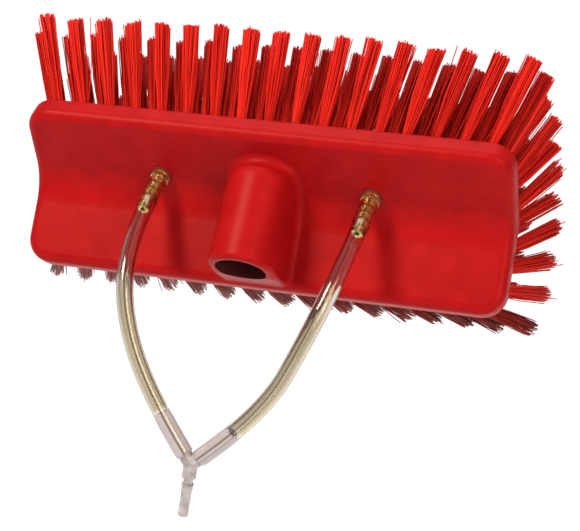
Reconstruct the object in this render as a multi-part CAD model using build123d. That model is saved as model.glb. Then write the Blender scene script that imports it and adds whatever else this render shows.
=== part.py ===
from build123d import *
from math import cos, pi, radians, sin, tan
import os

# Wheel brush head: a V-bent block, a handle socket and two water hoses that meet in a Y.
# Millimetres.  X runs along the block, +Y is the bristle side, +Z is up.
# The origin is on the handle socket's axis, where its bore begins.

# Block
block_length = 265.0
plate_thickness = 14.0
wing_tilt = 26.1                    # each wing leans back from the vertical by this much
upper_wing = 46.7                   # rear face, fold to edge
lower_wing = 44.1
fold_y, fold_z = 41.6, 24.3         # where the two rear faces would meet
fold_rear_radius = 24.0
fold_front_radius = 6.0
corner_radius = 13.5
rear_rim_radius = 5.0
front_rim_radius = 2.5

# Handle socket
socket_tilt = 36.8                  # the socket points down and back, this far from the vertical
socket_bore_radius = 13.5
socket_bore_depth = 49.0
socket_outer_radius = 17.5
socket_rim = 1.0                    # rim in front of the bore's plain wall
socket_rim_radius = 2.6
socket_length = 54.0                # from its rim to its closed upper end
socket_end_radius = 6.0
socket_foot_radius = 4.0            # where the socket runs into the wings
web_end = 42.6                      # the web under the tube stops here, down the lower wing
web_lip_radius = 6.0                # where the mouth's flat turns into the web's end

# Bristles: eleven rows fan out from the front, each tuft folded over a metal staple in its hole
row_count = 11
first_row = 46.4                    # along the front faces, measured up from the front fold
row_pitch = 9.1
row_lift = (67, 63, 56, 48, 39, 28, 18, 9, -3, -15, -27)
row_splay = (18.5, 20, 24, 25, 29, 25, 30, 27, 31, 25, 23)
odd_row_tufts, odd_row_end = 17, 117.6
even_row_tufts, even_row_end = 18, 121.5
tuft_hole_radius = 2.4
tuft_hole_depth = 7.0
tuft_root_radius = 2.3
tuft_tip_radius = 4.3
tuft_free_length = 52.0
tuft_straight = 4.0                 # stays narrow this far out of the hole
staple_width, staple_height, staple_gauge = 4.4, 1.6, 0.5

# Water fittings on the upper wing
barb_x = 58.1
barb_up = 12.7                      # up the upper wing from the fold
washer_radius, washer_thickness = 5.4, 1.0
flange_radius, flange_thickness = 4.9, 2.8
groove_depth, groove_width = 0.5, 0.8
shank_radius, shank_depth = 4.0, 6.0
shank_clearance = 0.05
spot_face_radius, spot_face_depth = 5.8, 3.0
barb_bore_radius = 1.2
barb_root_radius, barb_crest_radius = 2.75, 3.3
barb_length, barb_ridges = 26.0, 5
outlet_radius = 1.5                 # water outlet between the tufts

# Y connector, hanging on the two hoses
hub_x, hub_y, hub_z = -11.5, -36.5, -95.5
connector_tilt = 7.5                # its arms lean this far towards +X
arm_angle = 42.0                    # each arm from the connector's axis
arm_shoulder = 6.0                  # hub centre to the hose's end
stem_shoulder = 7.3                 # hub centre to the free stem's shoulder
shoulder_radius = 3.8
nipple_length = 21.5                # each of the three nipples beyond its shoulder
nipple_neck_radius, nipple_neck = 2.5, 3.6
nipple_crest_radius, nipple_radius = 3.2, 2.75
nipple_taper = 6.0                  # from the crest down to the plain end
connector_bore_radius = 1.7
crest_land = 0.5

# Hoses, clear tube pushed over the fittings' barbs
hose_outer_radius = 4.5
hose_bore_radius = 3.0
hose_squeeze = 0.02                 # gap left between a hose and the barb inside it
left_route = (
    (-58.1, 32.4, 33.9), (-58.1, -3.5, 16.3), (-53.6, -30.4, -15.1), (-37.0, -36.5, -58.4),
    (-14.9, -36.5, -90.55),
)
right_route = (
    (58.1, 32.4, 33.9), (58.1, -3.5, 16.3), (46.5, -30.4, -20.5), (25.8, -36.5, -63.7),
    (-6.95, -36.5, -91.6),
)
arc_share = 0.45                    # each bend takes this share of its shorter run

tilt = radians(wing_tilt)
fold = Vector(0, fold_y, fold_z)
upper_along = Vector(0, -sin(tilt), cos(tilt))
lower_along = Vector(0, -sin(tilt), -cos(tilt))
upper_front = Vector(0, cos(tilt), sin(tilt))
lower_front = Vector(0, cos(tilt), -sin(tilt))
front_fold = fold + Vector(0, plate_thickness / cos(tilt), 0)
socket_in = Vector(0, sin(radians(socket_tilt)), cos(radians(socket_tilt)))
socket_down = Vector(0, cos(radians(socket_tilt)), -sin(radians(socket_tilt)))


def row_plane(place, along, across=Vector(1, 0, 0)):
    """A plane at a place whose Z is the given direction."""
    return Plane(origin=place, x_dir=across, z_dir=along)


def rod(place, along, radius, length):
    return Solid.make_cylinder(radius, length, row_plane(place, along))


def open_edges(faces):
    """The edges that belong to only one of these faces: the outline around them."""
    edges = [edge for face in faces for edge in face.edges()]
    return [edge for edge in edges if sum(edge.is_same(other) for other in edges) == 1]


def plate():
    """The block's plate: a V-bent board with rounded corners and rims."""
    outline = Polyline(
        fold + upper_along * upper_wing,
        fold,
        fold + lower_along * lower_wing,
        fold + lower_along * lower_wing + lower_front * plate_thickness,
        front_fold,
        fold + upper_along * upper_wing + upper_front * plate_thickness,
        close=True,
    )
    board = extrude(make_face(outline), block_length / 2, dir=(1, 0, 0), both=True)
    lengthwise = board.edges().filter_by(Axis.X)
    board = fillet(lengthwise.sort_by_distance(fold)[0], fold_rear_radius)
    lengthwise = board.edges().filter_by(Axis.X)
    board = fillet(lengthwise.sort_by_distance(front_fold)[0], fold_front_radius)
    for wing_front, wing_end in (
        (upper_front, fold + upper_along * upper_wing),
        (lower_front, fold + lower_along * lower_wing),
    ):
        across = board.edges().filter_by(Axis((0, 0, 0), wing_front))
        board = fillet(across.sort_by(lambda edge: abs((edge.center() - wing_end).Z))[:2], corner_radius)
    rear = [face for face in board.faces() if face.normal_at().Y < -0.5]
    board = fillet(open_edges(rear), rear_rim_radius)
    front = [face for face in board.faces() if face.normal_at().Y > 0.5]
    return fillet(open_edges(front), front_rim_radius)


def rear_side():
    """Everything behind the plate's mid-thickness, to trim the socket against."""
    middle = fold + Vector(0, plate_thickness / 2 / cos(tilt), 0)
    reach = 200.0
    outline = Polyline(
        middle,
        middle + upper_along * reach,
        middle + Vector(0, -2 * reach, reach),
        middle + Vector(0, -2 * reach, -reach),
        middle + lower_along * reach,
        close=True,
    )
    return extrude(make_face(outline), reach, dir=(1, 0, 0), both=True)


def socket():
    """The handle socket: a round tube whose underside runs straight down to the lower wing."""
    drop = 40.0
    rim = row_plane(socket_in * -socket_rim, socket_in)
    over = ThreePointArc((-socket_outer_radius, 0), (0, -socket_outer_radius), (socket_outer_radius, 0))
    under = Polyline(
        (socket_outer_radius, 0), (socket_outer_radius, drop),
        (-socket_outer_radius, drop), (-socket_outer_radius, 0),
    )
    body = extrude(make_face([over, under]), socket_length).moved(rim.location)
    beyond = row_plane(fold + lower_along * web_end, lower_along)
    body -= extrude(Rectangle(200, 200), 100).moved(beyond.location)
    lip = body.edges().filter_by(Axis.X).sort_by_distance(rim.origin)[0]
    body = fillet(lip, web_lip_radius)
    mouth = [face for face in body.faces() if face.normal_at().Z < -0.7]
    outline = [edge for edge in open_edges(mouth) if edge.bounding_box().size.Z > 0.1]
    body = fillet(outline, socket_rim_radius)
    upper_end = body.edges().filter_by(GeomType.CIRCLE).sort_by(Axis((0, 0, 0), socket_in))[-1]
    return fillet(upper_end, socket_end_radius)


def socket_foot(block):
    """The edges where the socket stands on the block's long faces."""
    edges = []
    for face in block.faces():
        if face.bounding_box().size.X > block_length / 2:
            edges += [
                edge for edge in face.edges()
                if edge.length < block_length / 4 and abs(edge.center().X) < 2 * socket_outer_radius
            ]
    return edges


def tuft_places(row):
    """Where each tuft of a row stands on the front, and the way it points."""
    if row % 2 == 0:
        count, end = odd_row_tufts, odd_row_end
    else:
        count, end = even_row_tufts, even_row_end
    height = first_row - row * row_pitch
    along = upper_along if height > 0 else lower_along
    lift = radians(row_lift[row])
    places = []
    for index in range(count):
        x = end * (2 * index / (count - 1) - 1)
        splay = radians(row_splay[row]) * x / end
        foot = front_fold + along * abs(height) + Vector(x, 0, 0)
        out = Vector(sin(splay), cos(splay) * cos(lift), cos(splay) * sin(lift))
        places.append((foot, out))
    return places


def barb_seat(side):
    """Where a water fitting's axis meets the upper wing; side is -1 left, +1 right."""
    return fold + upper_along * barb_up + Vector(side * barb_x, 0, 0)


def brush_block():
    """The moulded block: socket bore, tuft holes, spot-faced fitting bores and water outlets."""
    block = plate() + (socket() & rear_side())
    block = fillet(socket_foot(block), socket_foot_radius)
    cuts = [rod(socket_in * -2 * socket_rim, socket_in, socket_bore_radius,
                socket_bore_depth + 2 * socket_rim)]
    for side in (-1, 1):
        into = upper_front
        seat = barb_seat(side)
        cuts.append(rod(seat, -into, spot_face_radius, spot_face_depth))
        cuts.append(rod(seat - into, into, shank_radius + shank_clearance, shank_depth + 1))
        cuts.append(rod(seat, into, outlet_radius, plate_thickness + 1))
    for row in range(row_count):
        for foot, out in tuft_places(row):
            bottom = foot - out * tuft_hole_depth
            cuts.append(rod(bottom, out, tuft_hole_radius, tuft_hole_depth + tuft_straight))
    return block - cuts


def turned(outline):
    """A solid turned about Z from a closed outline of (radius, height) points."""
    return revolve(make_face(Polyline(*[(r, 0, h) for r, h in outline], close=True)), Axis.Z)


def ridges(root, crest, start, length, count):
    """The outline of a barbed nipple: sharp shoulders towards its base, slopes towards its tip."""
    pitch = length / count
    outline = []
    for index in range(count):
        foot = start + index * pitch
        outline += [(root, foot + pitch * 0.2), (crest, foot + pitch * 0.2),
                    (crest, foot + pitch * 0.2 + crest_land), (root, foot + pitch)]
    return outline


def one_tuft():
    """A tuft along Z from its hole's mouth, with the window that its staple fills."""
    tuft = turned([
        (0, -tuft_hole_depth), (tuft_root_radius, -tuft_hole_depth),
        (tuft_root_radius, tuft_straight), (tuft_tip_radius, tuft_free_length),
        (0, tuft_free_length),
    ])
    return tuft - one_staple()


def one_staple():
    """The metal strip that holds a tuft down, near the bottom of the hole."""
    above_bottom = 0.8
    middle = -tuft_hole_depth + above_bottom + staple_height / 2
    return Box(staple_width, staple_gauge, staple_height).moved(Location((0, 0, middle)))


def placed(piece, row):
    return [piece.moved(row_plane(foot, out).location) for foot, out in tuft_places(row)]


def fitting_outline(grow):
    """A brass water fitting's outline: shank, grooved flange and barbed nipple."""
    seat = washer_thickness
    top = seat + flange_thickness
    middle = (seat + top) / 2
    return [
        (0, -shank_depth), (shank_radius + grow, -shank_depth), (shank_radius + grow, seat - grow),
        (flange_radius + grow, seat - grow),
        (flange_radius + grow, middle - groove_width / 2),
        (flange_radius + grow - groove_depth, middle - groove_width / 2),
        (flange_radius + grow - groove_depth, middle + groove_width / 2),
        (flange_radius + grow, middle + groove_width / 2),
        (flange_radius + grow, top + grow), (barb_root_radius + grow, top + grow),
    ] + ridges(barb_root_radius + grow, barb_crest_radius + grow, top, barb_length, barb_ridges) + [
        (0, top + barb_length),
    ]


def at_seat(piece, side):
    return piece.moved(row_plane(barb_seat(side), -upper_front).location)


def hose_barb(side):
    bore = Solid.make_cylinder(barb_bore_radius, 60, Plane.XY.offset(-20))
    return at_seat(turned(fitting_outline(0)) - bore, side)


def barb_washer(side):
    ring = Cylinder(washer_radius, washer_thickness) - Cylinder(shank_radius + shank_clearance, 10)
    return at_seat(ring.moved(Location((0, 0, washer_thickness / 2))), side)


def arm_plane(side):
    """A plane at the connector's hub whose Z runs out along an arm."""
    angle = radians(connector_tilt + side * arm_angle)
    return row_plane(Vector(hub_x, hub_y, hub_z), Vector(sin(angle), 0, cos(angle)), Vector(0, 1, 0))


def stem_plane():
    angle = radians(connector_tilt)
    return row_plane(Vector(hub_x, hub_y, hub_z), Vector(-sin(angle), 0, -cos(angle)), Vector(0, 1, 0))


def nipple_outline(shoulder, grow):
    """One leg of the connector: a thick leg up to its shoulder, then a nipple with one barb."""
    neck_end = shoulder + nipple_neck
    return [
        (0, 0), (shoulder_radius + grow, 0), (shoulder_radius + grow, shoulder + grow),
        (nipple_neck_radius + grow, shoulder + grow), (nipple_neck_radius + grow, neck_end),
        (nipple_crest_radius + grow, neck_end), (nipple_crest_radius + grow, neck_end + crest_land),
        (nipple_radius + grow, neck_end + nipple_taper), (nipple_radius + grow, shoulder + nipple_length),
        (0, shoulder + nipple_length),
    ]


def y_connector():
    """The Y piece: two arms inside the hoses and a free stem for the supply hose."""
    body = Sphere(shoulder_radius + 0.1).moved(Location((hub_x, hub_y, hub_z)))
    body += turned(nipple_outline(stem_shoulder, 0)).moved(stem_plane().location)
    body += [turned(nipple_outline(arm_shoulder, 0)).moved(arm_plane(side).location) for side in (-1, 1)]
    bore = Solid.make_cylinder(connector_bore_radius, 60)
    return body - [bore.moved(plane.location) for plane in (arm_plane(-1), arm_plane(1), stem_plane())]


def bend_radii(route):
    """Each bend's radius, as large as its two runs allow."""
    points = [Vector(*point) for point in route]
    runs = [b - a for a, b in zip(points, points[1:])]
    return [
        arc_share * min(one.length, two.length) / tan(radians(one.get_angle(two)) / 2)
        for one, two in zip(runs, runs[1:])
    ]


def hose(name, route, side):
    """A hose: straight runs and tangent arcs, opened by the barbs that it is pushed over."""
    radii = bend_radii(route)
    path = FilletPolyline(*route, radius=radii)
    at_start = Plane(origin=path @ 0, z_dir=path % 0)
    section = at_start * (Circle(hose_outer_radius) - Circle(hose_bore_radius))
    tube = sweep(section, path=path)
    area = pi * (hose_outer_radius ** 2 - hose_bore_radius ** 2)
    print(name, "length", round(path.length, 1), "bend radii", [round(r, 1) for r in radii],
          "volume over section times length", round(tube.volume / (area * path.length), 4))
    fitting = at_seat(turned(fitting_outline(hose_squeeze)), side)
    arm = turned(nipple_outline(arm_shoulder, hose_squeeze)).moved(arm_plane(side).location)
    return tube - fitting - arm


def write(name, piece):
    export_step(piece, f"parts/{name}.step")


def build():
    os.makedirs("parts", exist_ok=True)
    write("brush_block", brush_block())
    tuft, staple = one_tuft(), one_staple()
    staples = []
    for row in range(row_count):
        write(f"bristle_row_{row + 1:02d}", Compound(placed(tuft, row)))
        staples += placed(staple, row)
    write("tuft_staples", Compound(staples))
    for name, side, route in (("left", -1, left_route), ("right", 1, right_route)):
        write(f"hose_barb_{name}", hose_barb(side))
        write(f"barb_washer_{name}", barb_washer(side))
        write(f"hose_{name}", hose(f"hose_{name}", route, side))
    write("y_connector", y_connector())


build()
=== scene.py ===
import math

import bpy
import numpy as np
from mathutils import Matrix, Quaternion, Vector


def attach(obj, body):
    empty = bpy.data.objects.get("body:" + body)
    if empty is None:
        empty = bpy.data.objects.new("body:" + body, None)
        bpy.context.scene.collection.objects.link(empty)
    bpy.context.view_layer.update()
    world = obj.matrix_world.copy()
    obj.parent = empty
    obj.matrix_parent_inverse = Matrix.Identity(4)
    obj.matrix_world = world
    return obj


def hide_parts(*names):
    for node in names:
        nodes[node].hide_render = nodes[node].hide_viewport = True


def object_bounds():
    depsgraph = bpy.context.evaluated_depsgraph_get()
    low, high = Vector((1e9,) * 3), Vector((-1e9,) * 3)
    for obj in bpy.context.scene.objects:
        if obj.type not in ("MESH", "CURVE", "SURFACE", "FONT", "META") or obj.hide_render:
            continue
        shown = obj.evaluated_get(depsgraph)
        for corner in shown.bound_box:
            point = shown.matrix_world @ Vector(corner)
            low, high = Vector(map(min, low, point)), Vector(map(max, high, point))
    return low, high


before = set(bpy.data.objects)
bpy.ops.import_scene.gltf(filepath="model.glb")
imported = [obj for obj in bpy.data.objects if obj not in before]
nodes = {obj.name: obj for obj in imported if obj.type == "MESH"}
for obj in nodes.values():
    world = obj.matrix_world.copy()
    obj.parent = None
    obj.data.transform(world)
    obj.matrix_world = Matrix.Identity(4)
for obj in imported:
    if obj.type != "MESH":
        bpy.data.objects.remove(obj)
cad_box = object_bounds()

# Camera: on the block's rear side, a little to its right and above
camera_azimuth = math.radians(16.9)
camera_elevation = math.radians(15.75)
camera_roll = math.radians(2.13)
camera_distance = 1.0027
camera_aim = Vector((0.0150, 0.0372, -0.0061))
camera_lens = 117.62

# The handle socket's bore in the block
socket_tilt = math.radians(36.8)
socket_bore = 0.0135
socket_depth = 0.049

# Hoses: clear tube, pushed over a brass barb at one end and a nipple of the Y at the other
hose_radius = 0.0045
hose_bore = 0.0030
hose_sides = 40
# Control points of each hose's smooth line, from its barb to the Y
hose_routes = {
    "left": (
        (-0.0581, 0.0324, 0.0339), (-0.0581, -0.0035, 0.0163), (-0.0536, -0.0304, -0.0151),
        (-0.0370, -0.0365, -0.0584), (-0.0149, -0.0365, -0.09055),
    ),
    "right": (
        (0.0581, 0.0324, 0.0339), (0.0581, -0.0035, 0.0163), (0.0465, -0.0304, -0.0205),
        (0.0258, -0.0365, -0.0637), (-0.00695, -0.0365, -0.0916),
    ),
}
barb_in_hose = 0.0262              # length of brass barb inside the hose
barb_bore = 0.00272                # the bore grips the barb; past its grip it opens to tip_bore
tip_bore = 0.0034
tip_length = 0.011                 # length of the barb past its grip
nipple_in_hose = 0.0215            # length of the Y's nipple inside the hose
nipple_bore = 0.00245
barb_swell = 0.00025               # the hose's outer radius grows this much over the barb
nipple_swell = 0.00030
# Where each change along the hose starts and stops fading out
barb_fade = (-0.004, 0.005)        # past the barb's end
grip_fade = (0.0, 0.003)           # past the end of the barb's grip
nipple_fade = (-0.003, 0.004)      # past the nipple's end
whitened_fade = (0.001, 0.006)     # past the nipple's end
clean_fade = (0.045, 0.080)        # from the hose's end at the barb

# Bristles: a tuft's filaments start in its hole, run straight past its mouth, then spread
filament_radius = 0.00027
filaments_per_tuft = 92
filament_sides = 6
filament_rings = 4
filament_start = 0.0012            # from the tuft's inner end, as straight_end is
straight_end = 0.008
bundle_root_radius = 0.00205
golden_angle = 2.39996             # between one filament and the next, for an even bundle
fullness = 1.12                    # a bundle spreads this much wider than its plain solid
early_spread = 0.68                # share of its spread that a filament has half way out
longest_extra = 0.0012             # no filament ends further past its plain solid
stray_share = 0.035
last_row = 11                      # the lowest row, its strands painted darker brown as shade
end_slab = 0.0002                  # a tuft's end ring is found within this distance of its end

# Scatter of the bristles: the spread of each random draw
tuft_slant = 0.16                  # slope of a tuft's cut end
tuft_trim = (-0.0004, 0.0006)      # mean and spread of a tuft's length against its solid's
turn_scatter = 0.15
reach_range = (0.86, 1.06)
tip_scatter = 0.00028
stray_scatter = 0.0022
cut_scatter = 0.00055
bow_scatter = 0.00035
shade_shape = (2.2, 2.0)           # beta distribution of the strands' shades
usual_shades = (0.22, 0.78)        # darkest shade, and the range above it
# darkest shade and range for the lowest row: painted shade, darker brown
shadowed_row_shades = (0.0, 0.34)


# ---------------------------------------------------------------- materials

def new_material(name):
    """A material with nodes: returns it, its node tree and its Principled shader."""
    material = bpy.data.materials.new(name)
    material.use_nodes = True
    return material, material.node_tree, material.node_tree.nodes["Principled BSDF"]


def add_node(tree, kind, **settings):
    node = tree.nodes.new(kind)
    for key, value in settings.items():
        setattr(node, key, value)
    return node


def noise(tree, scale, detail=3.0, roughness=0.5):
    """Noise over the piece's own space; scale is in features per metre."""
    place = add_node(tree, "ShaderNodeTexCoord")
    texture = add_node(tree, "ShaderNodeTexNoise")
    texture.inputs["Scale"].default_value = scale
    texture.inputs["Detail"].default_value = detail
    texture.inputs["Roughness"].default_value = roughness
    tree.links.new(place.outputs["Object"], texture.inputs["Vector"])
    return texture.outputs["Fac"]


def ramp(tree, source, stops):
    """A colour ramp over a value: stops are (position, colour)."""
    node = add_node(tree, "ShaderNodeValToRGB")
    elements = node.color_ramp.elements
    while len(elements) < len(stops):
        elements.new(0.5)
    for element, (position, colour) in zip(elements, stops):
        element.position = position
        element.color = (*colour, 1.0)
    tree.links.new(source, node.inputs["Fac"])
    return node.outputs["Color"]


def spread(tree, source, low, high):
    """A value from 0..1 mapped to low..high."""
    node = add_node(tree, "ShaderNodeMapRange")
    node.inputs["To Min"].default_value = low
    node.inputs["To Max"].default_value = high
    tree.links.new(source, node.inputs["Value"])
    return node.outputs["Result"]


def bump(tree, shader, source, height):
    """Raises the surface by source times height, in metres."""
    node = add_node(tree, "ShaderNodeBump")
    node.inputs["Distance"].default_value = height
    node.inputs["Strength"].default_value = 1.0
    tree.links.new(source, node.inputs["Height"])
    tree.links.new(node.outputs["Normal"], shader.inputs["Normal"])


def inside_socket(tree):
    """1 on the wall and floor of the handle socket's bore, 0 elsewhere on the block: the mask of the
    bore's painted shade.
    """
    place = add_node(tree, "ShaderNodeTexCoord")
    axis = add_node(tree, "ShaderNodeVectorRotate", rotation_type="X_AXIS")
    axis.inputs["Angle"].default_value = socket_tilt
    tree.links.new(place.outputs["Object"], axis.inputs["Vector"])
    parts = add_node(tree, "ShaderNodeSeparateXYZ")
    tree.links.new(axis.outputs["Vector"], parts.inputs["Vector"])
    flat = add_node(tree, "ShaderNodeVectorMath", operation="MULTIPLY")
    flat.inputs[1].default_value = (1.0, 1.0, 0.0)
    tree.links.new(axis.outputs["Vector"], flat.inputs[0])
    away = add_node(tree, "ShaderNodeVectorMath", operation="LENGTH")
    tree.links.new(flat.outputs["Vector"], away.inputs[0])
    near = add_node(tree, "ShaderNodeMath", operation="LESS_THAN")
    near.inputs[1].default_value = socket_bore + 0.0001
    tree.links.new(away.outputs["Value"], near.inputs[0])
    behind = add_node(tree, "ShaderNodeMath", operation="LESS_THAN")
    behind.inputs[1].default_value = socket_depth + 0.001
    tree.links.new(parts.outputs["Z"], behind.inputs[0])
    both = add_node(tree, "ShaderNodeMath", operation="MULTIPLY")
    tree.links.new(near.outputs["Value"], both.inputs[0])
    tree.links.new(behind.outputs["Value"], both.inputs[1])
    return both.outputs["Value"]


def block_plastic():
    """Moulded red polypropylene: satin skin with faint flow mottling and a fine grain, and painted shade
    in the handle socket's bore.
    """
    material, tree, shader = new_material("block_plastic")
    mottle = noise(tree, 90.0, 4.0, 0.6)
    colour = ramp(tree, mottle, [(0.30, (0.255, 0.0030, 0.0044)), (0.70, (0.310, 0.0046, 0.0062))])
    # painted shade: the socket's bore is darkened in the base colour, standing in for the shade inside it
    painted_bore_shade = add_node(tree, "ShaderNodeMix", data_type="RGBA", blend_type="MIX")
    tree.links.new(inside_socket(tree), painted_bore_shade.inputs["Factor"])
    tree.links.new(colour, painted_bore_shade.inputs["A"])
    painted_bore_shade.inputs["B"].default_value = (0.060, 0.0100, 0.0110, 1.0)
    tree.links.new(painted_bore_shade.outputs["Result"], shader.inputs["Base Color"])
    tree.links.new(spread(tree, noise(tree, 260.0), 0.35, 0.43), shader.inputs["Roughness"])
    shader.inputs["IOR"].default_value = 1.5
    shader.inputs["Specular IOR Level"].default_value = 0.05
    bump(tree, shader, noise(tree, 2600.0, 2.0), 0.00001)
    return material


def bristle_plastic():
    """Red monofilament: each strand is a slightly different red; the lowest row's strands are painted
    darker brown as shade.
    """
    material, tree, shader = new_material("bristle_plastic")
    strand = add_node(tree, "ShaderNodeAttribute", attribute_name="strand")
    # shades below 0.22 are used only by the lowest row, as painted shade
    colour = ramp(tree, strand.outputs["Fac"], [
        (0.00, (0.075, 0.0120, 0.0050)), (0.25, (0.210, 0.0060, 0.0050)),
        (0.60, (0.520, 0.0140, 0.0110)), (1.00, (0.680, 0.0330, 0.0220)),
    ])
    tree.links.new(colour, shader.inputs["Base Color"])
    tree.links.new(spread(tree, noise(tree, 500.0), 0.32, 0.45), shader.inputs["Roughness"])
    shader.inputs["IOR"].default_value = 1.35
    shader.inputs["Specular IOR Level"].default_value = 0.06
    shader.inputs["Specular Tint"].default_value = (0.90, 0.20, 0.14, 1.0)
    return material


def brass():
    """Turned brass with tool marks and a little brown tarnish."""
    material, tree, shader = new_material("brass")
    stain = noise(tree, 420.0, 4.0, 0.6)
    colour = ramp(tree, stain, [(0.36, (0.55, 0.35, 0.10)), (0.58, (0.96, 0.72, 0.32))])
    tree.links.new(colour, shader.inputs["Base Color"])
    shader.inputs["Metallic"].default_value = 1.0
    tree.links.new(spread(tree, stain, 0.34, 0.20), shader.inputs["Roughness"])
    bump(tree, shader, noise(tree, 3000.0, 2.0), 0.000015)
    return material


# Dark rubber sealing washer under each barb's flange; its dark ring round the flange also stands in for
# the shade there: partly painted shade.
def washer_rubber_and_shade():
    material, tree, shader = new_material("washer_rubber_and_shade")
    grain = noise(tree, 1800.0, 3.0)
    colour = ramp(tree, grain, [(0.3, (0.055, 0.008, 0.006)), (0.7, (0.105, 0.014, 0.010))])
    tree.links.new(colour, shader.inputs["Base Color"])
    shader.inputs["Roughness"].default_value = 0.6
    bump(tree, shader, grain, 0.00003)
    return material


def staple_steel():
    material, tree, shader = new_material("staple_steel")
    drawn = noise(tree, 900.0, 2.0)
    tree.links.new(ramp(tree, drawn, [(0.3, (0.42, 0.42, 0.40)), (0.7, (0.62, 0.62, 0.60))]),
                   shader.inputs["Base Color"])
    shader.inputs["Metallic"].default_value = 1.0
    tree.links.new(spread(tree, drawn, 0.28, 0.42), shader.inputs["Roughness"])
    return material


def clear_vinyl():
    """Clear flexible vinyl, yellowed by use, cleaner near the barbs and whitened by stretch on the Y."""
    material, tree, shader = new_material("clear_vinyl")
    stretch = add_node(tree, "ShaderNodeAttribute", attribute_name="stretch")
    tint = ramp(tree, stretch.outputs["Fac"], [
        (0.0, (0.74, 0.68, 0.58)), (0.5, (0.99, 0.98, 0.98)), (1.0, (0.52, 0.485, 0.53)),
    ])
    clear = ramp(tree, stretch.outputs["Fac"], [(0.5, (1.0, 1.0, 1.0)), (1.0, (0.35, 0.35, 0.35))])
    tree.links.new(clear, shader.inputs["Transmission Weight"])
    streak = add_node(tree, "ShaderNodeAttribute", attribute_name="streak")
    lines = ramp(tree, streak.outputs["Fac"], [(0.0, (0.30, 0.25, 0.19)), (0.30, (1.0, 1.0, 1.0))])
    body = add_node(tree, "ShaderNodeMix", data_type="RGBA", blend_type="MULTIPLY")
    body.inputs["Factor"].default_value = 1.0
    tree.links.new(tint, body.inputs["A"])
    tree.links.new(lines, body.inputs["B"])
    tree.links.new(body.outputs["Result"], shader.inputs["Base Color"])
    shader.inputs["IOR"].default_value = 1.53
    tree.links.new(spread(tree, noise(tree, 200.0), 0.02, 0.07), shader.inputs["Roughness"])
    bump(tree, shader, noise(tree, 120.0, 2.0), 0.00003)
    wall = add_node(tree, "ShaderNodeVolumeAbsorption")
    wall.inputs["Color"].default_value = (0.45, 0.38, 0.24, 1.0)
    wall.inputs["Density"].default_value = 120.0
    tree.links.new(wall.outputs["Volume"], tree.nodes["Material Output"].inputs["Volume"])
    return material


def milky_plastic():
    """Natural moulded plastic: milky, faintly lilac and a little see-through."""
    material, tree, shader = new_material("milky_plastic")
    cloud = noise(tree, 240.0, 3.0)
    colour = ramp(tree, cloud, [(0.3, (0.25, 0.235, 0.265)), (0.7, (0.50, 0.475, 0.52))])
    tree.links.new(colour, shader.inputs["Base Color"])
    tree.links.new(spread(tree, noise(tree, 500.0), 0.24, 0.38), shader.inputs["Roughness"])
    shader.inputs["Transmission Weight"].default_value = 0.10
    shader.inputs["IOR"].default_value = 1.49
    bump(tree, shader, noise(tree, 600.0, 2.0), 0.00025)
    return material


def studio_floor():
    material, _, shader = new_material("studio_floor")
    shader.inputs["Base Color"].default_value = (0.35, 0.35, 0.35, 1.0)
    shader.inputs["Roughness"].default_value = 0.9
    shader.inputs["Specular IOR Level"].default_value = 0.0
    shader.inputs["Emission Color"].default_value = (1.0, 1.0, 1.0, 1.0)
    shader.inputs["Emission Strength"].default_value = 0.92
    return material


def dress(piece, material):
    piece.data.materials.clear()
    piece.data.materials.append(material)


# ---------------------------------------------------------------- camera, light and floor

def add_camera():
    back = Vector((
        math.sin(camera_azimuth) * math.cos(camera_elevation),
        -math.cos(camera_azimuth) * math.cos(camera_elevation),
        math.sin(camera_elevation),
    ))
    camera = bpy.data.objects.new("camera", bpy.data.cameras.new("camera"))
    camera.data.lens = camera_lens
    camera.rotation_mode = "QUATERNION"
    camera.rotation_quaternion = back.to_track_quat("Z", "Y") @ Quaternion((0, 0, 1), camera_roll)
    camera.location = camera_aim + back * camera_distance
    bpy.context.scene.collection.objects.link(camera)
    bpy.context.scene.camera = camera


def add_softbox(name, azimuth, elevation, distance, width, height, power, colour=(1.0, 1.0, 1.0)):
    """A soft box aimed at the object; azimuth 0 is straight behind the block, positive to the right."""
    light = bpy.data.objects.new(name, bpy.data.lights.new(name, "AREA"))
    light.data.shape = "RECTANGLE"
    light.data.size = width
    light.data.size_y = height
    light.data.energy = power
    light.data.color = colour
    a, e = math.radians(azimuth), math.radians(elevation)
    back = Vector((math.sin(a) * math.cos(e), -math.cos(a) * math.cos(e), math.sin(e)))
    light.location = back * distance
    light.rotation_mode = "QUATERNION"
    light.rotation_quaternion = back.to_track_quat("Z", "Y")
    bpy.context.scene.collection.objects.link(light)


def set_world():
    scene = bpy.context.scene
    scene.view_settings.view_transform = "Standard"
    world = bpy.data.worlds.new("studio")
    world.use_nodes = True
    sky = world.node_tree.nodes["Background"]
    sky.inputs["Color"].default_value = (1.0, 0.98, 0.95, 1.0)
    sky.inputs["Strength"].default_value = 0.35
    scene.world = world


def add_lights():
    add_softbox("key_light", azimuth=-38, elevation=50, distance=1.7, width=0.5, height=0.5, power=36,
                colour=(1.0, 0.84, 0.64))
    add_softbox("fill_light", azimuth=48, elevation=25, distance=1.8, width=0.8, height=1.2, power=24,
                colour=(1.0, 0.82, 0.58))
    add_softbox("top_light", azimuth=180, elevation=65, distance=1.7, width=1.4, height=0.9, power=17)


def add_floor():
    """A wide floor that glows white, well below the object."""
    size, gap = 20.0, 0.45
    level = cad_box[0].z - gap
    corners = [(-size, -size, level), (size, -size, level), (size, size, level), (-size, size, level)]
    mesh = bpy.data.meshes.new("floor")
    mesh.from_pydata(corners, [], [(0, 1, 2, 3)])
    floor = bpy.data.objects.new("floor", mesh)
    bpy.context.scene.collection.objects.link(floor)
    dress(floor, studio_floor())


# ---------------------------------------------------------------- hoses

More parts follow.
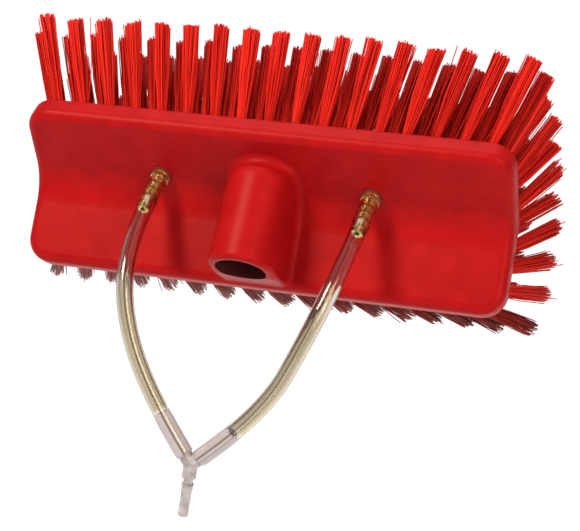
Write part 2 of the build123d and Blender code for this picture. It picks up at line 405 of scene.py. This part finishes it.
def add_piece(name, vertices, faces, material):
    mesh = bpy.data.meshes.new(name)
    mesh.from_pydata([tuple(v) for v in vertices], [], faces)
    mesh.polygons.foreach_set("use_smooth", [True] * len(mesh.polygons))
    mesh.update()
    piece = bpy.data.objects.new(name, mesh)
    bpy.context.scene.collection.objects.link(piece)
    dress(piece, material)
    return piece


def spline_line(route):
    """Points along the smooth NURBS spline that has the route's points as its control points."""
    curve = bpy.data.curves.new("route", "CURVE")
    curve.dimensions = "3D"
    curve.resolution_u = 32
    spline = curve.splines.new("NURBS")
    spline.points.add(len(route) - 1)
    for point, place in zip(spline.points, route):
        point.co = (*place, 1.0)
    spline.order_u = 3
    spline.use_endpoint_u = True
    holder = bpy.data.objects.new("route", curve)
    bpy.context.scene.collection.objects.link(holder)
    line = bpy.data.meshes.new_from_object(holder.evaluated_get(bpy.context.evaluated_depsgraph_get()))
    points = [v.co.copy() for v in line.vertices]
    bpy.data.objects.remove(holder)
    bpy.data.meshes.remove(line)
    return points


def rings_along(points, radii, sides):
    """Rings of vertices square to a line, with no twist between them."""
    rings = []
    along = (points[1] - points[0]).normalized()
    across = along.orthogonal().normalized()
    for index, (point, radius) in enumerate(zip(points, radii)):
        ahead = points[min(index + 1, len(points) - 1)]
        behind = points[max(index - 1, 0)]
        turned = (ahead - behind).normalized()
        across = along.rotation_difference(turned) @ across
        along = turned
        other = along.cross(across)
        turns = [2 * math.pi * k / sides for k in range(sides)]
        rings.append([point + (across * math.cos(t) + other * math.sin(t)) * radius for t in turns])
    return rings


def fading(at, start, fade):
    """1 before a fade and 0 after it, smooth between; the fade's two ends are measured from start."""
    low, high = start + fade[0], start + fade[1]
    t = min(1.0, max(0.0, (at - low) / (high - low)))
    return 1 - t * t * (3 - 2 * t)


def hose_profile(at, length):
    """Outer radius, bore radius and tint a distance along a hose: tint 0 yellowed, 0.5 clear, 1 white."""
    to_end = length - at
    on_barb = fading(at, barb_in_hose, barb_fade)
    grip = fading(at, barb_in_hose - tip_length, grip_fade)
    on_nipple = fading(to_end, nipple_in_hose, nipple_fade)
    bore = hose_bore + (tip_bore - hose_bore) * on_barb + (nipple_bore - hose_bore) * on_nipple
    bore += (barb_bore - tip_bore) * grip
    outer = hose_radius + barb_swell * on_barb + nipple_swell * on_nipple
    whitened = fading(to_end, nipple_in_hose, whitened_fade)
    clean = fading(at, 0.0, clean_fade)
    return outer, bore, max(0.5 * clean, whitened)


def tube_faces(count, sides):
    """Faces of a tube: its outside rings come first, then as many inside rings, joined at both ends."""
    faces = []
    for k in range(sides):
        n = (k + 1) % sides
        for i in range(count - 1):
            a, b = i * sides, (i + 1) * sides
            faces.append((a + k, a + n, b + n, b + k))
            a, b = a + count * sides, b + count * sides
            faces.append((a + n, a + k, b + k, b + n))
        last, bore = (count - 1) * sides, count * sides
        faces.append((k, bore + k, bore + n, n))
        faces.append((last + n, last + bore + n, last + bore + k, last + k))
    return faces


def add_hose(side, material):
    points = spline_line(hose_routes[side])
    runs = [0.0]
    for a, b in zip(points, points[1:]):
        runs.append(runs[-1] + (b - a).length)
    profile = [hose_profile(at, runs[-1]) for at in runs]
    outside = rings_along(points, [p[0] for p in profile], hose_sides)
    inside = rings_along(points, [p[1] for p in profile], hose_sides)
    vertices = [v for ring in outside + inside for v in ring]
    faces = tube_faces(len(points), hose_sides)
    piece = add_piece(f"clear_hose_{side}", vertices, faces, material)
    stretch = piece.data.attributes.new("stretch", "FLOAT", "POINT")
    stretch.data.foreach_set("value", np.repeat([p[2] for p in profile] * 2, hose_sides))
    streak = piece.data.attributes.new("streak", "FLOAT", "POINT")
    lines = np.random.default_rng(7).random(hose_sides)
    streak.data.foreach_set("value", np.tile(lines, 2 * len(points)))
    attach(piece, "root")
    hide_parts(f"hose_{side}")
    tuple(hose_routes[side][0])


# ---------------------------------------------------------------- bristles

def loose_parts(mesh, co):
    """For each vertex of a mesh, the number of the separate solid that it belongs to."""
    welded = {}
    name_of = np.array([welded.setdefault(key, len(welded)) for key in map(tuple, np.round(co, 6))])
    leader = list(range(len(welded)))

    def find(i):
        while leader[i] != i:
            leader[i] = leader[leader[i]]
            i = leader[i]
        return i

    for edge in mesh.edges:
        a, b = (find(name_of[v]) for v in edge.vertices)
        leader[max(a, b)] = min(a, b)
    return np.array([find(i) for i in name_of])


def tuft_axes(node):
    """Root centre, tip centre and tip radius of each tuft in a CAD node, in order along the block."""
    co = np.array([v.co for v in node.data.vertices])
    part = loose_parts(node.data, co)
    axes = []
    for key in sorted(set(part)):
        points = co[part == key]
        middle = (points.min(0) + points.max(0)) / 2
        _, _, directions = np.linalg.svd(points - points.mean(0), full_matrices=False)
        axis = directions[0] * (1 if directions[0][1] > 0 else -1)
        reach = (points - middle) @ axis
        root_ring = points[reach < reach.min() + end_slab]
        tip_ring = points[reach > reach.max() - end_slab]
        root, tip = root_ring.mean(0), tip_ring.mean(0)
        axes.append((root, tip, np.linalg.norm(tip_ring - tip, axis=1).max()))
    return sorted(axes, key=lambda a: a[1][0])


def strand_leans(index, tip_radius, dice):
    """How far one filament leans off its tuft's axis: in its hole and at its tip."""
    spot = math.sqrt((index + 0.5) / filaments_per_tuft)
    angle = index * golden_angle + dice.normal(0, turn_scatter)
    lean = np.array([math.cos(angle), math.sin(angle)])
    reach = min(1.0, spot * dice.uniform(*reach_range)) * (tip_radius - filament_radius) * fullness
    lean_tip = lean * reach + dice.normal(0, tip_scatter, 2)
    if dice.random() < stray_share:
        lean_tip = lean_tip + dice.normal(0, stray_scatter, 2)
    return lean * spot * bundle_root_radius, lean_tip


def strand_centres(root, axis, across, other, length, tip_radius, dice):
    """The centres of each filament's rings, one filament of a tuft at a time."""
    slant = dice.normal(0, tuft_slant, 2)
    trim = dice.normal(*tuft_trim)
    for index in range(filaments_per_tuft):
        lean_root, lean_tip = strand_leans(index, tip_radius, dice)
        cut = trim + float(slant @ lean_tip) + dice.normal(0, cut_scatter)
        end = min(length + cut, length + longest_extra)
        bow = dice.normal(0, bow_scatter, 2)
        lean_middle = lean_root * (1 - early_spread) + lean_tip * early_spread + bow
        stations = (filament_start, straight_end, (straight_end + end) / 2, end)
        leans = (lean_root, lean_root, lean_middle, lean_tip)
        yield [root + axis * at + across * off[0] + other * off[1] for at, off in zip(stations, leans)]


def strand_faces(count):
    """The side and end faces of a number of filaments, and which of those faces are smooth."""
    sides, rings = filament_sides, filament_rings
    side_faces = []
    for ring in range(rings - 1):
        low, high = ring * sides, (ring + 1) * sides
        for k in range(sides):
            n = (k + 1) % sides
            side_faces.append((low + k, low + n, high + n, high + k))
    caps = [tuple(reversed(range(sides))), tuple(range((rings - 1) * sides, rings * sides))]
    faces = [
        tuple(v + strand * rings * sides for v in face)
        for strand in range(count) for face in side_faces + caps
    ]
    return faces, ([True] * len(side_faces) + [False] * len(caps)) * count


def add_bristle_row(number, material):
    """One row of tufts, each a bundle of separate cut filaments in its hole."""
    node = nodes[f"bristle_row_{number:02d}"]
    dice = np.random.default_rng(100 + number)
    # the lowest row's strands take darker shades: painted shade
    darkest, shade_range = shadowed_row_shades if number == last_row else usual_shades
    turn = 2 * np.pi * np.arange(filament_sides) / filament_sides
    vertices, shades = [], []
    for root, tip, tip_radius in tuft_axes(node):
        length = np.linalg.norm(tip - root)
        axis = (tip - root) / length
        across = np.cross(axis, (0.0, 0.0, 1.0))
        across /= np.linalg.norm(across)
        other = np.cross(axis, across)
        ring = filament_radius * (np.outer(np.cos(turn), across) + np.outer(np.sin(turn), other))
        for centres in strand_centres(root, axis, across, other, length, tip_radius, dice):
            vertices += [centre + ring for centre in centres]
            shades.append(darkest + shade_range * dice.beta(*shade_shape))
    faces, smooth = strand_faces(len(shades))
    piece = add_piece(f"bristle_tufts_{number:02d}", np.concatenate(vertices), faces, material)
    piece.data.polygons.foreach_set("use_smooth", smooth)
    shade = piece.data.attributes.new("strand", "FLOAT", "POINT")
    values = np.repeat(np.array(shades, np.float32), filament_rings * filament_sides)
    shade.data.foreach_set("value", values)
    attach(piece, "root")
    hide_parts(node.name)


# ---------------------------------------------------------------- the object

add_camera()
set_world()
add_lights()
add_floor()
vinyl = clear_vinyl()
for side in ("left", "right"):
    add_hose(side, vinyl)
strands = bristle_plastic()
for number in range(1, last_row + 1):
    add_bristle_row(number, strands)
dress(nodes["brush_block"], block_plastic())
dress(nodes["tuft_staples"], staple_steel())
dress(nodes["y_connector"], milky_plastic())
brass_metal, washer_and_flange_shade = brass(), washer_rubber_and_shade()
for side in ("left", "right"):
    dress(nodes[f"hose_barb_{side}"], brass_metal)
    dress(nodes[f"barb_washer_{side}"], washer_and_flange_shade)
